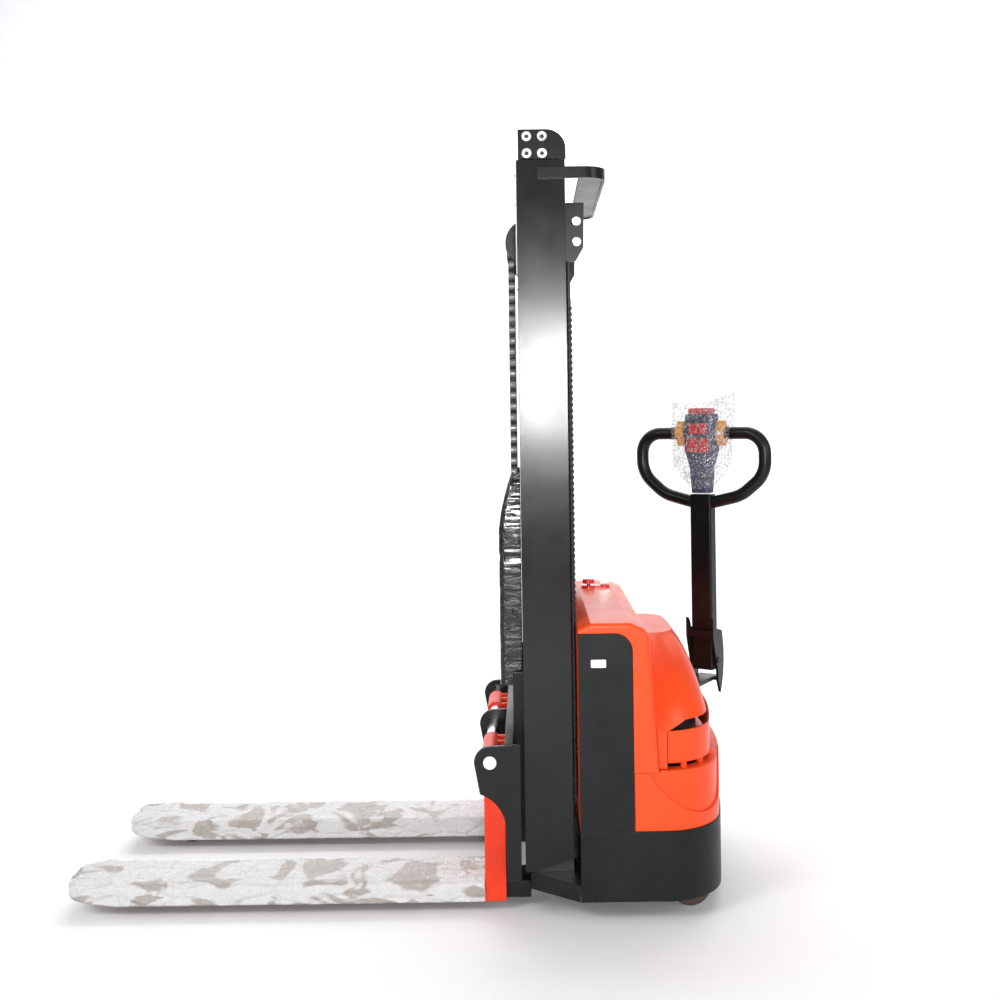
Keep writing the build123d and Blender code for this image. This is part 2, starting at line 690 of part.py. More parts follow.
nose_r = 42
plate_edges = [
    Line((shaft_x, shaft_z + nose_r), (255, shaft_z + nose_r + 4)),
    Line((255, shaft_z + nose_r + 4), (255, lower_beam_low)),
    Line((255, lower_beam_low), (215, lower_beam_low)),
    Line((215, lower_beam_low), (215, 250)),
    ThreePointArc((215, 250), (193, 306), (147, 338)),
    Line((147, 338), (shaft_x - nose_r, shaft_z)),
    ThreePointArc((shaft_x - nose_r, shaft_z), (shaft_x - 0.7 * nose_r, shaft_z + 0.714 * nose_r),
                  (shaft_x, shaft_z + nose_r)),
]
end_plate = side_profile(plate_edges, -plate_y - plate_t / 2, -plate_y + plate_t / 2)
bore = bar_y(shaft_x, shaft_z, shaft_r, -500, 500)
end_plate -= bore
centre_plate = side_profile(plate_edges, -plate_t / 2, plate_t / 2)
centre_plate &= block((0, beam_front), (-10, 10), (0, 900))
centre_plate -= bore
save("carriage_plates", *both(end_plate), centre_plate)
shaft_out = plate_y + plate_t / 2 + 2
save("fork_shaft", bar_y(shaft_x, shaft_z, shaft_r, -shaft_out, shaft_out))


# ---------------------------------------------------------------- forks
def fork(side):
    """An inverted channel over the leg, with a box shank and a tube on the fork shaft."""
    y0 = side * fork_centre - fork_width / 2
    y1 = side * fork_centre + fork_width / 2
    tip = fork_face - fork_length
    heel = fork_face + shank_depth
    blade = block((tip, heel), (y0, y1), (fork_low, fork_high))
    nose_cut = side_profile([
        Line((tip - 1, fork_low - 1), (tip - 1, fork_low + 28)),
        Line((tip - 1, fork_low + 28), (tip + 150, fork_low - 1)),
        Line((tip + 150, fork_low - 1), (tip - 1, fork_low - 1)),
    ], y0 - 1, y1 + 1)
    blade = fillet([e for e in blade.edges().filter_by(Axis.Z) if e.center().X < tip + 1], 46)
    blade -= nose_cut
    cavity = block((tip + 60, heel + 1), (y0 + fork_wall, y1 - fork_wall),
                   (fork_low - 30, fork_high - fork_wall))
    blade -= cavity
    shank = block((fork_face, heel), (y0, y1), (fork_high - 1, shank_high))
    shank = fillet(shank.edges().filter_by(Axis.Y).group_by(Axis.Z)[-1], 12)
    shank -= block((fork_face + 9, heel - 9), (y0 + 9, y1 - 9), (fork_high + 10, shank_high - 12))
    hanger = bar_y(shaft_x, shaft_z, shaft_r + 7, y0 + 4, y1 - 22)
    fins = [block((shaft_x - 6, heel), (y, y + 12), (shank_high - 6, shaft_z + 18))
            for y in (y0 + 8, (y0 + y1) / 2 - 8, y1 - 40)]
    body = blade + shank + hanger
    for fin in fins:
        body += fin
    return body - bar_y(shaft_x, shaft_z, shaft_r + fit, y0 - 1, y1 + 1)


save("fork_left", fork(-1))
save("fork_right", fork(1))


def fork_film(side):
    """Packing film over a fork's top and sides and round its tip, open underneath."""
    y0 = side * fork_centre - fork_width / 2 - 1
    y1 = side * fork_centre + fork_width / 2 + 1
    tip = fork_face - fork_length - 1
    skin = block((tip - film_t, fork_face - 1), (y0 - film_t, y1 + film_t),
                 (fork_low - 1, fork_high + 1 + film_t))
    skin -= block((tip, fork_face + 1), (y0, y1), (fork_low - 2, fork_high + 1))
    return skin


save("fork_film_left", fork_film(-1))
save("fork_film_right", fork_film(1))

film_front = 197
film_rear = 261
film_half = 205
film_low = 577
film_high = 1181
mast_film = block((film_front, film_rear), (-film_half, film_half), (film_low, film_high))
mast_film -= block((film_front + film_t, film_rear + 1), (-film_half + film_t, film_half - film_t),
                   (film_low - 1, film_high + 1))
save("mast_film", mast_film)

# ---------------------------------------------------------------- tiller
bracket_half = 46
cheek_t = 8
arm_plate_z = 502
plate_h_t = 12
arm_plate = block((-40, arm_reach + 30), (-30, 30), (arm_plate_z, arm_plate_z + plate_h_t))
arm_plate += bar_z_axis(0, 0, 58, 492, arm_plate_z + plate_h_t)
bracket_floor = block((arm_reach - 2, arm_reach + 20), (-bracket_half, bracket_half),
                      (arm_plate_z, arm_plate_z + plate_h_t))
cheek_edges = [
    Line((arm_reach - 2, arm_plate_z), (arm_reach - 2, 530)),
    Line((arm_reach - 2, 530), (arm_reach - 14, 560)),
    Line((arm_reach - 14, 560), (arm_reach - 38, 640)),
    Line((arm_reach - 38, 640), (arm_reach - 38, 700)),
    ThreePointArc((arm_reach - 38, 700), (arm_reach - 25, 688), (arm_reach - 18, 668)),
    Line((arm_reach - 18, 668), (arm_reach + 30, 656)),
    ThreePointArc((arm_reach + 30, 656), (arm_reach + 43, 580), (arm_reach + 16, 462)),
    Line((arm_reach + 16, 462), (arm_reach - 2, arm_plate_z)),
]
bracket_body = arm_plate + bracket_floor
for y0 in (-bracket_half, bracket_half - cheek_t):
    bracket_body += side_profile(cheek_edges, y0, y0 + cheek_t)
bracket_body += block((arm_reach - 38, arm_reach - 31), (-bracket_half, bracket_half), (640, 662))
tiller_pin_r = 9
pin_bore = bar_y(arm_reach, tiller_pin_z, tiller_pin_r, -60, 60)
pin = bar_y(arm_reach, tiller_pin_z, tiller_pin_r, -bracket_half - 3, bracket_half + 3)
save("tiller_bracket", steered(bracket_body - pin_bore), steered(pin))

arm_x0 = arm_reach - arm_d / 2
arm_x1 = arm_reach + arm_d / 2
arm = block((arm_x0, arm_x1), (-arm_w / 2, arm_w / 2), (arm_low, arm_high))
arm = fillet(arm.edges().filter_by(Axis.Z), 6)
arm -= block((arm_x0 + 4, arm_x1 - 4), (-arm_w / 2 + 4, arm_w / 2 - 4), (arm_low + 60, arm_high - 20))
arm = arm - bar_y(arm_reach, tiller_pin_z, tiller_pin_r + fit, -60, 60)
save("tiller_arm", steered(arm))

loop_foot_z = 1052
half_path = Plane.YZ * FilletPolyline(
    (0, bar_z), (loop_half, bar_z), (loop_half, 1150), (130, 1084), (0, loop_foot_z),
    radius=[64, 90, 120])
half_path = Pos(arm_reach, 0, 0) * half_path
section = Plane(origin=(arm_reach, 0, bar_z), z_dir=(0, 1, 0)) * Circle(bar_r)
half_loop = sweep(section, path=half_path)
lug = block((arm_x0 - 2, arm_x1 + 2), (-arm_w / 2, arm_w / 2), (loop_foot_z - 24, arm_high + 2))
loop = half_loop + mirrored(half_loop)
loop -= lug
save("handle_loop", *[steered(s) for s in loop.solids()])


def head_section(z, width, depth, corner):
    return Pos(arm_reach, 0, z) * RectangleRounded(depth, width, corner)


head = loft([
    head_section(arm_high + 4, 62, 48, 14),
    head_section(1170, 72, 56, 16),
    head_section(1226, 104, 66, 20),
    head_section(head_high, 100, 60, 20),
], ruled=True)
head -= bar_y(arm_reach, bar_z, bar_r + 0.3, -200, 200)
button_depth = 9
belly_w = 74
belly_d = 40
head -= block((arm_reach - belly_d / 2 - 0.5, arm_reach + belly_d / 2 + 0.5),
              (-belly_w / 2 - 0.5, belly_w / 2 + 0.5), (head_high - 13, head_high + 1))
buttons = {"lift_button": (1276, 1310, 30), "lower_button": (1218, 1264, 37)}
face_x = arm_reach - 34
for z0, z1, half in buttons.values():
    head -= block((face_x - 20, face_x + button_depth), (-half - 0.5, half + 0.5),
                  (z0 - 0.5, z1 + 0.5))
save("control_head", steered(head))
belly = block((arm_reach - belly_d / 2, arm_reach + belly_d / 2), (-belly_w / 2, belly_w / 2),
              (head_high - 6, head_high + 20))
belly = fillet(belly.edges().group_by(Axis.Z)[-1], 7)
save("belly_switch", steered(belly))
for name, (z0, z1, half) in buttons.items():
    cap = block((face_x - 4, face_x + button_depth - 4), (-half, half), (z0, z1))
    cap = fillet(cap.edges().group_by(Axis.X)[0], 2.5)
    save(name, steered(cap))


def paddle(side):
    """One thumb paddle of the throttle: a ring round the bar with a wing above and below."""
    y0 = side * 68 - 14
    y1 = side * 68 + 14
    ring = bar_y(arm_reach, bar_z, 31, y0, y1)
    ring = fillet(ring.edges().filter_by(GeomType.CIRCLE), 6)
    wing = block((arm_reach - 12, arm_reach + 12), (y0 + 2, y1 - 2), (bar_z - 40, bar_z + 40))
    wing = fillet(wing.edges().filter_by(Axis.Y), 9)
    return ring + wing - bar_y(arm_reach, bar_z, bar_r + fit, y0 - 1, y1 + 1)


save("throttle_paddles", *[steered(paddle(side)) for side in (-1, 1)])

wrap_x0 = arm_reach - 58
wrap_x1 = arm_reach + 52
wrap_y0 = -112
wrap_y1 = 116
wrap_low = 1104
wrap_high = 1405
wrap = block((wrap_x0, wrap_x1), (wrap_y0, wrap_y1), (wrap_low, wrap_high))
wrap -= block((wrap_x0 + film_t, wrap_x1 - film_t), (wrap_y0 + film_t, wrap_y1 - film_t),
              (wrap_low - 1, wrap_high + 1))
wrap -= bar_y(arm_reach, bar_z, bar_r + 6, -200, 200)
save("head_bubble_wrap", steered(wrap))
print("nodes:", len(os.listdir("parts")))
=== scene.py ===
"""The walkie stacker's looks: materials, packing film and small trim on its CAD frame."""
import math
import json

import bpy
from mathutils import Matrix, Vector, noise


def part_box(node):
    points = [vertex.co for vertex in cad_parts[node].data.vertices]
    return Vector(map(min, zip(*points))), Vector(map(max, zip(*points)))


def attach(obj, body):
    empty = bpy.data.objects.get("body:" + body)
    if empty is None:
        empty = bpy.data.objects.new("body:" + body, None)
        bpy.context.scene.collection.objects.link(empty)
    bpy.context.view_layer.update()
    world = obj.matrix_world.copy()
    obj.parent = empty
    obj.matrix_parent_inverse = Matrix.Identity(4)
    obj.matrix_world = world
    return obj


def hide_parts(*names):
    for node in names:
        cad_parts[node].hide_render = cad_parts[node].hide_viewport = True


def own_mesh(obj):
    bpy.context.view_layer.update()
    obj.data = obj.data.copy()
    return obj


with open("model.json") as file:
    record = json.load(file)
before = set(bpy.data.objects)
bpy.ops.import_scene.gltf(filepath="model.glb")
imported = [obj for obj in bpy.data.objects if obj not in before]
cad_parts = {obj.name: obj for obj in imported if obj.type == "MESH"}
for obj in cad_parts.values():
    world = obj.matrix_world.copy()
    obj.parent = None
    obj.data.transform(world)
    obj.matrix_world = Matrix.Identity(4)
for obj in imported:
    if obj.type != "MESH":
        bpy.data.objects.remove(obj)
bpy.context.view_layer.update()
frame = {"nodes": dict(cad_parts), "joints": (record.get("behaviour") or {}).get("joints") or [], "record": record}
nodes = frame["nodes"]


# ---------------------------------------------------------------- materials
def new_material(name):
    material = bpy.data.materials.new(name)
    material.use_nodes = True
    tree = material.node_tree
    return material, tree, tree.nodes["Principled BSDF"]


def texture(tree, kind, scale, stretch=(1, 1, 1), **values):
    """A 3-D texture in the part's own coordinates."""
    coords = tree.nodes.new("ShaderNodeTexCoord")
    mapping = tree.nodes.new("ShaderNodeMapping")
    mapping.inputs["Scale"].default_value = stretch
    tex = tree.nodes.new(kind)
    tex.inputs["Scale"].default_value = scale
    for key, value in values.items():
        tex.inputs[key.replace("_", " ")].default_value = value
    tree.links.new(coords.outputs["Object"], mapping.inputs["Vector"])
    tree.links.new(mapping.outputs["Vector"], tex.inputs["Vector"])
    return tex


def spread(tree, source, low, high, start=0.3, end=0.7):
    """A texture's value, spread between low and high."""
    node = tree.nodes.new("ShaderNodeMapRange")
    node.inputs["From Min"].default_value = start
    node.inputs["From Max"].default_value = end
    node.inputs["To Min"].default_value = low
    node.inputs["To Max"].default_value = high
    tree.links.new(source, node.inputs["Value"])
    return node.outputs["Result"]


def tint(tree, factor, dark, light):
    node = tree.nodes.new("ShaderNodeMix")
    node.data_type = "RGBA"
    node.inputs["A"].default_value = (*dark, 1)
    node.inputs["B"].default_value = (*light, 1)
    tree.links.new(factor, node.inputs["Factor"])
    return node.outputs["Result"]


def bump(tree, shader, height, strength, distance, edge=0.0):
    """Fine relief, over edges that look rounded by edge metres."""
    node = tree.nodes.new("ShaderNodeBump")
    if edge:
        rounding = tree.nodes.new("ShaderNodeBevel")
        rounding.samples = 6
        rounding.inputs["Radius"].default_value = edge
        tree.links.new(rounding.outputs["Normal"], node.inputs["Normal"])
    node.inputs["Strength"].default_value = strength
    node.inputs["Distance"].default_value = distance
    tree.links.new(height, node.inputs["Height"])
    tree.links.new(node.outputs["Normal"], shader.inputs["Normal"])


def surface(name, dark, light, rough, grain, grain_scale, metal=0.0, coat=0.0, specular=0.5, edge=0.0):
    """A solid finish: slightly uneven colour and gloss, with a fine grain."""
    material, tree, shader = new_material(name)
    wear = texture(tree, "ShaderNodeTexNoise", 9.0, Detail=6.0, Roughness=0.62)
    fine = texture(tree, "ShaderNodeTexNoise", grain_scale, Detail=3.0)
    tree.links.new(tint(tree, spread(tree, wear.outputs["Fac"], 0, 1), dark, light),
                   shader.inputs["Base Color"])
    tree.links.new(spread(tree, wear.outputs["Fac"], rough[0], rough[1]), shader.inputs["Roughness"])
    shader.inputs["Metallic"].default_value = metal
    shader.inputs["Specular IOR Level"].default_value = specular
    shader.inputs["Coat Weight"].default_value = coat
    shader.inputs["Coat Roughness"].default_value = 0.12
    bump(tree, shader, fine.outputs["Fac"], grain, 0.0006, edge)
    return material


def brushed(name, dark, light, rough, stretch):
    """Metal with fine lines along one direction."""
    material, tree, shader = new_material(name)
    lines = texture(tree, "ShaderNodeTexNoise", 90.0, stretch, Detail=8.0, Roughness=0.7)
    wear = texture(tree, "ShaderNodeTexNoise", 30.0, Detail=5.0)
    tree.links.new(tint(tree, spread(tree, lines.outputs["Fac"], 0, 1), dark, light),
                   shader.inputs["Base Color"])
    tree.links.new(spread(tree, wear.outputs["Fac"], rough[0], rough[1]), shader.inputs["Roughness"])
    shader.inputs["Metallic"].default_value = 1.0
    bump(tree, shader, lines.outputs["Fac"], 0.12, 0.0004)
    return material


def chain_steel():
    """Oiled leaf chain: rows of link plates, each waisted between its pins, with painted shade in the dips between
    rows and painted highlights on their crests.
    """
    material, tree, shader = new_material("chain_steel")
    links = texture(tree, "ShaderNodeTexWave", 10.0, (0, 0, 1), Distortion=0.0)
    links.bands_direction = "Z"
    grime = texture(tree, "ShaderNodeTexNoise", 70.0, Detail=5.0)
    # painted shade and painted highlight: the colour follows the relief, near-black in the dips between link rows
    # and lighter on their crests
    tree.links.new(tint(tree, spread(tree, links.outputs["Fac"], 0, 1, 0.1, 0.6), (0.012, 0.011, 0.01),
                        (0.16, 0.15, 0.14)), shader.inputs["Base Color"])
    tree.links.new(spread(tree, grime.outputs["Fac"], 0.28, 0.6), shader.inputs["Roughness"])
    shader.inputs["Metallic"].default_value = 0.85
    bump(tree, shader, links.outputs["Fac"], 0.8, 0.003)
    return material


def fork_film():
    """Whitish stretch film in several layers: cloudy patches, creases and glints."""
    material, tree, shader = new_material("fork_film")
    patches = texture(tree, "ShaderNodeTexNoise", 9.0, (1, 0.8, 2.6), Detail=2.0, Distortion=0.7)
    creases = texture(tree, "ShaderNodeTexVoronoi", 16.0, (0.6, 1.1, 1.2), Randomness=1.0)
    creases.feature = "DISTANCE_TO_EDGE"
    fine = texture(tree, "ShaderNodeTexNoise", 55.0, (1, 0.5, 0.7), Detail=8.0, Distortion=1.5)
    tree.links.new(tint(tree, spread(tree, patches.outputs["Fac"], 0, 1, 0.42, 0.47), (0.36, 0.32, 0.29),
                        (0.60, 0.59, 0.585)), shader.inputs["Base Color"])
    tree.links.new(spread(tree, fine.outputs["Fac"], 0.20, 0.46), shader.inputs["Roughness"])
    shader.inputs["Coat Weight"].default_value = 0.35
    join = tree.nodes.new("ShaderNodeMath")
    join.operation = "ADD"
    tree.links.new(spread(tree, creases.outputs["Distance"], 0, 1.6, 0.0, 0.12), join.inputs[0])
    tree.links.new(spread(tree, fine.outputs["Fac"], 0, 1), join.inputs[1])
    bump(tree, shader, join.outputs["Value"], 0.55, 0.004)
    return material


def bubble_wrap():
    """Clear wrap with bubbles under a centimetre apart: light and dark rims, see-through middles; the light and
    dark are painted glints and painted shade.
    """
    material, tree, shader = new_material("bubble_wrap")
    bubbles = texture(tree, "ShaderNodeTexVoronoi", 120.0, Randomness=0.75)
    folds = texture(tree, "ShaderNodeTexNoise", 26.0, Detail=6.0, Distortion=2.0)
    glint_and_shade = texture(tree, "ShaderNodeTexNoise", 210.0, Detail=2.0)
    # painted glints and painted shade: the colour runs at random in fine specks from near-black to near-white
    tree.links.new(tint(tree, spread(tree, glint_and_shade.outputs["Fac"], 0, 1, 0.44, 0.60), (0.10, 0.11, 0.13),
                        (0.90, 0.92, 0.96)), shader.inputs["Base Color"])
    rim = spread(tree, bubbles.outputs["Distance"], 0.07, 0.40, 0.34, 0.64)
    # painted sheen: the folds are made more opaque, so the painted glints show along them
    sheen = spread(tree, folds.outputs["Fac"], 0.0, 0.24, 0.52, 0.68)
    opacity = tree.nodes.new("ShaderNodeMath")
    opacity.operation = "ADD"
    opacity.use_clamp = True
    tree.links.new(rim, opacity.inputs[0])
    tree.links.new(sheen, opacity.inputs[1])
    tree.links.new(opacity.outputs["Value"], shader.inputs["Alpha"])
    shader.inputs["Roughness"].default_value = 0.08
    shader.inputs["Specular IOR Level"].default_value = 0.8
    bump(tree, shader, bubbles.outputs["Distance"], 0.7, 0.004)
    return material


def black_film():
    """Glossy black stretch film, pulled tight sideways into fine level creases."""
    material, tree, shader = new_material("black_film")
    creases = texture(tree, "ShaderNodeTexNoise", 34.0, (0.5, 0.12, 1), Detail=7.0, Distortion=1.2)
    shader.inputs["Base Color"].default_value = (0.006, 0.006, 0.007, 1)
    shader.inputs["Specular IOR Level"].default_value = 0.4
    tree.links.new(spread(tree, creases.outputs["Fac"], 0.10, 0.34), shader.inputs["Roughness"])
    shader.inputs["Coat Weight"].default_value = 0.3
    bump(tree, shader, creases.outputs["Fac"], 0.8, 0.006)
    return material


finishes = {
    "orange_cover": surface("orange_cover", (0.84, 0.060, 0.005), (0.90, 0.074, 0.007), (0.28, 0.38), 0.04,
                            420.0, coat=0.08, specular=0.3, edge=0.004),
    "orange_steel": surface("orange_steel", (0.72, 0.030, 0.004), (0.82, 0.044, 0.006), (0.32, 0.44), 0.08,
                            260.0, coat=0.05, specular=0.3, edge=0.002),
    "black_steel": surface("black_steel", (0.004, 0.004, 0.004), (0.008, 0.008, 0.008), (0.24, 0.36), 0.08,
                           300.0, specular=0.28, edge=0.002),
    "black_plastic": surface("black_plastic", (0.005, 0.006, 0.006), (0.010, 0.011, 0.011), (0.34, 0.46),
                             0.22, 900.0, specular=0.22, edge=0.004),
    "charcoal_plastic": surface("charcoal_plastic", (0.035, 0.042, 0.085), (0.055, 0.065, 0.12),
                                (0.34, 0.5), 0.22, 800.0),
    "red_plastic": surface("red_plastic", (0.66, 0.020, 0.012), (0.74, 0.032, 0.018), (0.16, 0.28), 0.04,
                           500.0, coat=0.5),
    "yellow_plastic": surface("yellow_plastic", (0.86, 0.34, 0.012), (0.92, 0.42, 0.020), (0.22, 0.34),
                              0.06, 500.0, coat=0.3),
    "chrome_steel": brushed("chrome_steel", (0.72, 0.73, 0.75), (0.84, 0.85, 0.87), (0.08, 0.2), (0.1, 1, 1)),
    "zinc_steel": brushed("zinc_steel", (0.66, 0.66, 0.65), (0.86, 0.86, 0.85), (0.22, 0.4), (1, 0.3, 1)),
    "dark_steel": brushed("dark_steel", (0.07, 0.07, 0.07), (0.2, 0.2, 0.2), (0.3, 0.55), (1, 0.4, 1)),
    "wheel_tyre": surface("wheel_tyre", (0.045, 0.028, 0.018), (0.075, 0.046, 0.03), (0.45, 0.7), 0.3, 300.0),
    "hose_rubber": surface("hose_rubber", (0.008, 0.008, 0.009), (0.016, 0.016, 0.017), (0.3, 0.5), 0.3,
                           500.0),
    "clear_film": fork_film(),
    "black_film": black_film(),
    "battery_case": surface("battery_case", (0.03, 0.03, 0.033), (0.05, 0.05, 0.055), (0.5, 0.65), 0.25,
                            400.0),
    "motor_metal": surface("motor_metal", (0.05, 0.05, 0.052), (0.10, 0.10, 0.105), (0.4, 0.6), 0.35, 200.0,
                           metal=0.5),
    "label_white": surface("label_white", (0.80, 0.80, 0.78), (0.86, 0.86, 0.85), (0.3, 0.4), 0.02, 300.0),
}
mast_finish = surface("mast_paint", (0.006, 0.006, 0.006), (0.009, 0.009, 0.009), (0.17, 0.22), 0.05, 300.0,
                      specular=0.32, edge=0.002)
wrap_finish = bubble_wrap()
chain_finish = chain_steel()
# painted highlight: the near-white finish of the short strips on the fork shanks
glint_finish = surface("painted_glint", (0.55, 0.50, 0.47), (0.80, 0.77, 0.74), (0.25, 0.4), 0.2, 200.0)
slots = {part["node"]: part["material_slot"] for part in frame["record"]["subparts"]}
for name, obj in nodes.items():
    finish = finishes[slots[name]]
    if name.startswith("chain_") and name != "chain_sheaves":
        finish = chain_finish
    elif name.startswith("outer_channel"):
        finish = mast_finish
    obj.data.materials.clear()
    obj.data.materials.append(finish)


# ---------------------------------------------------------------- mesh helpers
def add_mesh(name, points, faces, material, smooth=True):
    mesh = bpy.data.meshes.new(name)
    mesh.from_pydata([tuple(p) for p in points], [], faces)
    mesh.validate()
    mesh.materials.append(material)
    for face in mesh.polygons:
        face.use_smooth = smooth
    obj = bpy.data.objects.new(name, mesh)
    bpy.context.scene.collection.objects.link(obj)
    return obj


def grid_faces(rows, columns, closed=False):
    """Faces of a grid of points stored row by row, joined round if closed."""
    faces = []
    for i in range(rows - 1):
        for j in range(columns if closed else columns - 1):
            k = (j + 1) % columns
            faces.append((i * columns + j, i * columns + k, (i + 1) * columns + k, (i + 1) * columns + j))
    return faces


def rod(name, start, end, radius, material, sides=24):
    """A plain cylinder between two points, with flat ends."""
    start, end = Vector(start), Vector(end)
    turn = (end - start).to_track_quat("Z", "Y")
    points = []
    for centre in (start, end):
        for j in range(sides):
            angle = 2 * math.pi * j / sides
            points.append(centre + turn @ Vector((radius * math.cos(angle), radius * math.sin(angle), 0)))
    faces = grid_faces(2, sides, closed=True)
    faces.append(tuple(range(sides - 1, -1, -1)))
    faces.append(tuple(range(sides, 2 * sides)))
    return add_mesh(name, points, faces, material, smooth=False)


def plate(name, low, high, material, round_by=0.001):
    """A small box with softened edges."""
    corners = [(x, y, z) for x in (low[0], high[0]) for y in (low[1], high[1]) for z in (low[2], high[2])]
    faces = [(0, 1, 3, 2), (4, 6, 7, 5), (0, 4, 5, 1), (2, 3, 7, 6), (0, 2, 6, 4), (1, 5, 7, 3)]
    obj = add_mesh(name, corners, faces, material, smooth=False)
    edge = obj.modifiers.new("soft edges", "BEVEL")
    edge.width = round_by
    edge.segments = 3
    return obj


def ripple(point, scale, seed):
    """Smooth noise from -1 to 1 at a point."""
    return noise.noise(Vector((point[0] * scale[0], point[1] * scale[1], point[2] * scale[2] + seed)))


# ---------------------------------------------------------------- film over the forks
def wrap_fork(side):
    """Film pulled over a fork's top and sides, folded down at its tip and tucked in underneath."""
    node = f"fork_film_{side}"
    low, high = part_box(node)
    y0, y1 = low[1], high[1]
    bottom, top = low[2] + 0.001, high[2]
    turn_r = 0.016
    nose_r = 0.052
    nose_rise = 0.024
    lip_width = 0.020
    height_steps, top_steps, turn_steps, lip_steps = 8, 22, 5, 3
    profile = [(y0, bottom)] * lip_steps
    for i in range(height_steps):
        profile.append((y0, bottom + (top - turn_r - bottom) * i / height_steps))
    for i in range(turn_steps + 1):
        angle = math.pi - math.pi / 2 * i / turn_steps
        profile.append((y0 + turn_r + turn_r * math.cos(angle), top - turn_r + turn_r * math.sin(angle)))
    for i in range(1, top_steps):
        profile.append((y0 + turn_r + (y1 - y0 - 2 * turn_r) * i / top_steps, top))
    profile += [(y0 + y1 - y, z) for y, z in reversed(profile[:lip_steps + height_steps + turn_steps + 1])]
    stations = 240
    tip, heel = low[0], high[0]
    centre_y, centre_z = (y0 + y1) / 2, (bottom + top) / 2
    seed = 3.0 if side == "left" else 17.0
    points = []
    fold_steps = 8
    nose_waist = 1 - nose_r / (y1 - y0) * 2
    low_edge = bottom + 0.5 * nose_rise
    for k in range(fold_steps, 0, -1):
        drop = k / fold_steps
        for y, z in profile:
            points.append((tip - 0.002 * math.sin(drop * math.pi), centre_y + (y - centre_y) * nose_waist,
                           low_edge + (max(z, low_edge) - low_edge) * (1 - drop)))
    for i in range(stations):
        x = tip + (heel - tip) * i / (stations - 1)
        back = max(0.0, 1 - (x - tip) / nose_r)
        narrow = 1 - (1 - math.sqrt(1 - back * back)) * nose_r / (y1 - y0) * 2
        rise = nose_rise * max(0.0, 1 - (x - tip) / (3 * nose_r)) ** 1.5
        closed = min(1.0, max(0.0, 2 - (x - tip) / nose_r))
        lip = lip_width + ((y1 - y0) / 2 - lip_width) * closed
        for j, (y, z) in enumerate(profile):
            tuck = max(0, lip_steps - j, j - (len(profile) - 1 - lip_steps)) / lip_steps
            y += math.copysign(lip * tuck, centre_y - y)
            big = ripple((x, y, z), (7, 11, 16), seed)
            small = ripple((x, y, z), (34, 26, 34), seed + 5)
            sharp = abs(ripple((x, y, z), (15, 19, 24), seed + 9))
            ridge = max(0.0, 1 - sharp / 0.22) ** 2
            loose = 0.6 + 0.8 * math.exp(-(x - tip) / 0.12)
            out = loose * (0.0032 * (1 + big) + 0.0012 * small + 0.0034 * ridge)
            across = 1 + out / 0.088
            lift = out if z > centre_z else 0.3 * out
            z += rise * (top - z) / (top - bottom) - 0.25 * rise * (z - bottom) / (top - bottom) * back
            points.append((x + 0.002 * small, centre_y + (y - centre_y) * across * narrow, z + lift))
    rows = stations + fold_steps
    film = add_mesh(f"film_{side}", points, grid_faces(rows, len(profile)), finishes["clear_film"])
    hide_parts(node)
    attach(film, "carriage")


for side in ("left", "right"):
    wrap_fork(side)


# ---------------------------------------------------------------- black film on the mast
def wrap_mast():
    """Stretch film round the front of the carriage's chains, drawn in towards its top."""
    low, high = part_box("mast_film")
    gap = 0.0035
    front, rear = low[0] + gap, high[0]
    half = high[1] - gap
    bottom, top = low[2] + 0.002, high[2] - 0.002
    rows = 170
    front_steps, side_steps, turn_steps = 44, 12, 4
    corner_r = 0.014
    drawn_from = 0.72        # share of the height where the film begins to draw in
    drawn_back, drawn_in = 0.62, 0.10
    waist_at = 0.6
    outline = []
    for i in range(side_steps):
        outline.append((rear + (front + corner_r - rear) * i / side_steps, -half, 0.0))
    for i in range(turn_steps + 1):
        angle = math.pi / 2 * i / turn_steps
        outline.append((front + corner_r - corner_r * math.sin(angle),
                        -half + corner_r - corner_r * math.cos(angle), 0.5))
    for i in range(1, front_steps):
        outline.append((front, -half + corner_r + (2 * half - 2 * corner_r) * i / front_steps, 1.0))
    outline += [(x, -y, f) for x, y, f in reversed(outline[:side_steps + turn_steps + 1])]
    points = []
    for i in range(rows):
        share = i / (rows - 1)
        z = bottom + (top - bottom) * share
        draw = max(0.0, (share - drawn_from) / (1 - drawn_from)) ** 1.5
        waist = 0.004 * math.exp(-((share - waist_at) / 0.02) ** 2)
        for x, y, facing in outline:
            crease = ripple((x, y, z), (3, 2.5, 62), 2.0) + 0.6 * ripple((x, y, z), (6, 5, 120), 8.0)
            slack = ripple((x, y, z), (5, 6, 9), 4.0)
            inward = 0.0016 * crease + 0.0016 * slack + waist
            new_x = x + (rear - x) * drawn_back * draw + inward * facing
            new_y = y * (1 - drawn_in * draw) - math.copysign(inward * (1 - facing), y)
            points.append((new_x, new_y, z))
    film = add_mesh("mast_stretch_film", points, grid_faces(rows, len(outline)), finishes["black_film"])
    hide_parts("mast_film")
    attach(film, "carriage")


wrap_mast()

# ---------------------------------------------------------------- bubble wrap on the control head
tilt_joint = next(j for j in frame["joints"] if j["name"] == "tiller_tilt")
across = Vector(tilt_joint["axis"])
outward = Vector((across.y, -across.x, 0))
tiller_spot = Vector((tilt_joint["pos_m"][0], tilt_joint["pos_m"][1], 0))


def on_tiller(out, side, z):
    """A point given from the tiller's middle: outwards, across and up."""
    return tiller_spot + outward * out + across * side + Vector((0, 0, z))


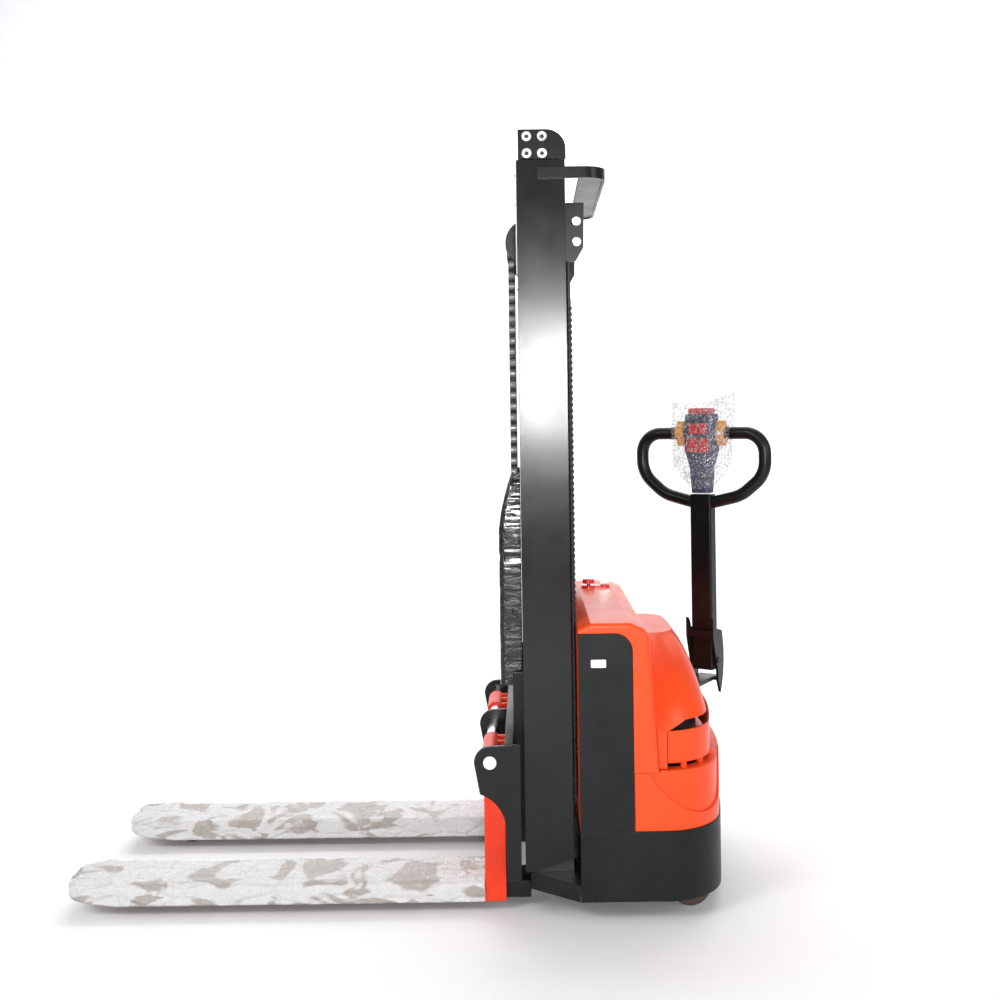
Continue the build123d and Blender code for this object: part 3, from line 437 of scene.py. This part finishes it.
def wrap_head():
    """A bag of bubble wrap gathered round the neck of the head and pressed flat at its top."""
    low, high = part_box("head_bubble_wrap")
    bottom, top = low[2], high[2]
    rows, columns = 90, 120
    neck_wide, neck_deep = 0.050, 0.033      # half width and half depth round the neck
    full_at, pinched_from = 0.30, 0.80       # shares of the height
    points = []
    for i in range(rows):
        share = i / (rows - 1)
        swell = math.sin(min(1.0, share / full_at) * math.pi / 2)
        wide = neck_wide + 0.046 * swell + 0.006 * share
        pinch = max(0.0, (share - pinched_from) / (1 - pinched_from))
        deep = (neck_deep + 0.014 * swell) * (1 - 0.86 * pinch ** 1.6)
        for j in range(columns):
            angle = 2 * math.pi * j / columns
            c, s = math.cos(angle), math.sin(angle)
            out = deep * math.copysign(abs(c) ** 0.75, c)
            side = wide * math.copysign(abs(s) ** 0.8, s)
            flap = max(0.0, -side / wide) * share ** 2
            hem = 0.014 * (1 - share) ** 3 * s * s
            z = bottom + (top - bottom) * share * (0.90 + 0.10 * flap) + hem
            side -= 0.012 * flap
            spot = on_tiller(out, side, z)
            wave = 0.0042 * ripple(spot, (13, 13, 11), 1.0) + 0.0016 * ripple(spot, (42, 42, 36), 6.0)
            points.append(spot + (outward * c + across * s) * wave)
    wrap = add_mesh("head_wrap", points, grid_faces(rows, columns, closed=True), wrap_finish)
    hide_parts("head_bubble_wrap")
    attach(wrap, "tiller")


wrap_head()


# ---------------------------------------------------------------- lift chains
def lift_chains():
    """Leaf chains from the carriage up to the sheaves: rows of link plates, waisted between their pins."""
    low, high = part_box("chain_front")
    plate_t, gap, pitch, step = 0.0032, 0.0006, 0.0159, 0.0026
    centre_x = (low[0] + high[0]) / 2
    half_x = (high[0] - low[0]) / 2
    steps = int((high[2] - low[2]) / step)
    points, faces = [], []
    for side in (-1, 1):
        for lane in (-1, 0, 1):
            y = side * (high[1] - 1.5 * plate_t - gap) + lane * (plate_t + gap)
            start = len(points)
            for i in range(steps + 1):
                z = low[2] + (high[2] - low[2]) * i / steps
                half = half_x * (0.72 + 0.28 * abs(math.cos(math.pi * (z / pitch + 0.5 * lane))))
                points += [(centre_x - half, y - plate_t / 2, z), (centre_x + half, y - plate_t / 2, z),
                           (centre_x + half, y + plate_t / 2, z), (centre_x - half, y + plate_t / 2, z)]
            faces += [tuple(start + k for k in face) for face in grid_faces(steps + 1, 4, closed=True)]
            end = start + 4 * steps
            faces += [(start + 3, start + 2, start + 1, start), (end, end + 1, end + 2, end + 3)]
    chain = add_mesh("lift_chains", points, faces, chain_finish, smooth=False)
    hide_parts("chain_front")
    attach(chain, "inner_stage")
    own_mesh(chain)


lift_chains()


# ---------------------------------------------------------------- hose guards
def hose_guard(side):
    """A coil of plastic strip round a lift hose."""
    low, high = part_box("lift_hoses")
    hose_r = (high[0] - low[0]) / 2
    centre_x = (low[0] + high[0]) / 2
    centre_y = side * (high[1] - hose_r)
    pitch, sides, steps = 0.0165, 6, 14
    cover_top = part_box("battery_cover")[1][2]
    ferrule = 0.115          # the fitting and bare hose above the guard
    start, end = low[2] + 0.01, high[2] - ferrule
    turns = int((end - start) / pitch)
    points = []
    for i in range(turns * steps + 1):
        angle = 2 * math.pi * i / steps
        ray = Vector((math.cos(angle), math.sin(angle), 0))
        centre = Vector((centre_x, centre_y, start + pitch * i / steps))
        strip_r = 0.0024 if centre.z > cover_top else 0.0013
        centre += ray * (hose_r + 0.3 * strip_r)
        for j in range(sides):
            turn = 2 * math.pi * j / sides
            tall = Vector((0, 0, 2.2 * strip_r * math.sin(turn)))
            points.append(centre + ray * strip_r * math.cos(turn) + tall)
    guard = add_mesh("hose_guard_" + ("left" if side < 0 else "right"), points,
                     grid_faces(turns * steps + 1, sides, closed=True), finishes["hose_rubber"])
    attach(guard, "chassis")


for side in (-1, 1):
    hose_guard(side)


# ---------------------------------------------------------------- bolts and trim
def bolt_sockets():
    """Hexagon sockets in the mast's head bolts, made near-black: painted shade in the recesses."""
    low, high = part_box("head_bolts")
    bolt_r, socket_r, recess, depth = 0.013, 0.0062, 0.0035, 0.003
    for side in (-1, 1):
        face_y = side * (high[1] - recess)
        for x in (low[0] + bolt_r, high[0] - bolt_r):
            for z in (low[2] + bolt_r, high[2] - bolt_r):
                name = f"bolt_socket_{'l' if side < 0 else 'r'}_{round(x * 1000)}_{round(z * 1000)}"
                # painted shade: the sockets take the near-black hose_rubber finish
                socket = rod(name, (x, face_y - side * depth, z), (x, face_y, z), socket_r,
                             finishes["hose_rubber"], sides=6)
                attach(socket, "inner_stage")


def mast_strips():
    """Light wear strips on the front edges of the outer mast, each held by four small screws."""
    thick, length, screws, spacing = 0.003, 0.31, 4, 0.08
    for side in ("left", "right"):
        sign = -1 if side == "left" else 1
        low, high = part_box(f"outer_channel_{side}")
        edge_y = low[1] if side == "left" else high[1]
        y0, y1 = sorted((edge_y - sign * 0.006, edge_y - sign * 0.030))
        strip = plate(f"wear_strip_{side}", (low[0] - thick, y0, high[2] - length),
                      (low[0], y1, high[2] - 0.004), finishes["label_white"])
        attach(strip, "chassis")
        for k in range(screws):
            z = high[2] - spacing / 2 - spacing * k
            y = (y0 + y1) / 2
            screw = rod(f"strip_screw_{side}_{k}", (low[0] - 0.0055, y, z), (low[0] - 0.002, y, z), 0.004,
                        finishes["dark_steel"], sides=16)
            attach(screw, "chassis")


def fork_glints():
    """A short bright strip standing proud on each outer flank of the fork shanks: a painted highlight."""
    glint_low, glint_high, proud = 0.308, 0.314, 0.0015
    for side in ("left", "right"):
        low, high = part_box(f"fork_{side}")
        heel = high[0]
        face_y = low[1] if side == "left" else high[1]
        sign = -1 if side == "left" else 1
        y0, y1 = sorted((face_y, face_y + sign * proud))
        # painted highlight: a near-white strip on the shank's flank
        mark = plate(f"glint_strip_{side}", (heel - 0.048, y0, glint_low), (heel - 0.012, y1, glint_high),
                     glint_finish)
        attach(mark, "carriage")


bolt_sockets()
mast_strips()
fork_glints()

# ---------------------------------------------------------------- studio
stage_material = surface("studio_paper", (0.88, 0.88, 0.88), (0.90, 0.90, 0.90), (0.6, 0.75), 0.03, 40.0)
paper_half, paper_front, bend_y, bend_r, bend_steps, paper_high = 9.0, -6.0, 2.6, 1.6, 12, 6.0
sweep_profile = [(paper_front, 0.0), (bend_y, 0.0)]
for step in range(1, bend_steps + 1):
    angle = math.pi / 2 * step / bend_steps
    sweep_profile.append((bend_y + bend_r * math.sin(angle), bend_r - bend_r * math.cos(angle)))
sweep_profile.append((bend_y + bend_r, paper_high))
paper_points = [(x, y, z) for y, z in sweep_profile for x in (-paper_half, paper_half)]
paper = add_mesh("studio_paper", paper_points, grid_faces(len(sweep_profile), 2), stage_material)


def soft_light(name, spot, target, size, watts):
    data = bpy.data.lights.new(name, "AREA")
    data.shape = "RECTANGLE"
    data.size, data.size_y = size
    data.energy = watts
    lamp = bpy.data.objects.new(name, data)
    bpy.context.scene.collection.objects.link(lamp)
    lamp.location = spot
    lamp.rotation_euler = (Vector(target) - Vector(spot)).to_track_quat("-Z", "Y").to_euler()


middle = (0.2, 0.0, 0.9)
soft_light("key", (-3.4, -3.4, 3.8), middle, (1.8, 1.8), 110)
soft_light("fill", (3.8, -3.0, 2.4), middle, (1.6, 2.2), 45)
soft_light("overhead", (0.4, 0.6, 4.6), (0.4, 0.2, 0), (3.4, 2.6), 18)
soft_light("mast_glow", (0.43, -5.6, 1.64), (0.43, 0, 1.64), (0.62, 0.66), 150)
soft_light("rear", (0.6, 2.4, 4.4), (0.6, 4.2, 1.0), (6.0, 1.4), 130)
soft_light("rear_floor", (0.0, 2.6, 3.4), (0.0, 2.0, 0.0), (6.0, 2.0), 40)
world = bpy.data.worlds.new("studio")
world.use_nodes = True
world.node_tree.nodes["Background"].inputs["Color"].default_value = (0.92, 0.94, 1.0, 1)
world.node_tree.nodes["Background"].inputs["Strength"].default_value = 0.42
bpy.context.scene.world = world

eye = (0.272, -3.499, 1.318)
roll = math.radians(0.8)
camera_data = bpy.data.cameras.new("camera")
camera_data.sensor_width = 36.0
camera_data.lens = 42.1
camera_data.shift_x = -0.0266
camera_data.shift_y = -0.077
camera = bpy.data.objects.new("camera", camera_data)
bpy.context.scene.collection.objects.link(camera)
camera.matrix_world = (Matrix.Translation(eye) @ Matrix.Rotation(math.pi / 2, 4, "X")
                       @ Matrix.Rotation(-roll, 4, "Z"))
bpy.context.scene.camera = camera
bpy.context.scene.view_settings.view_transform = "Standard"
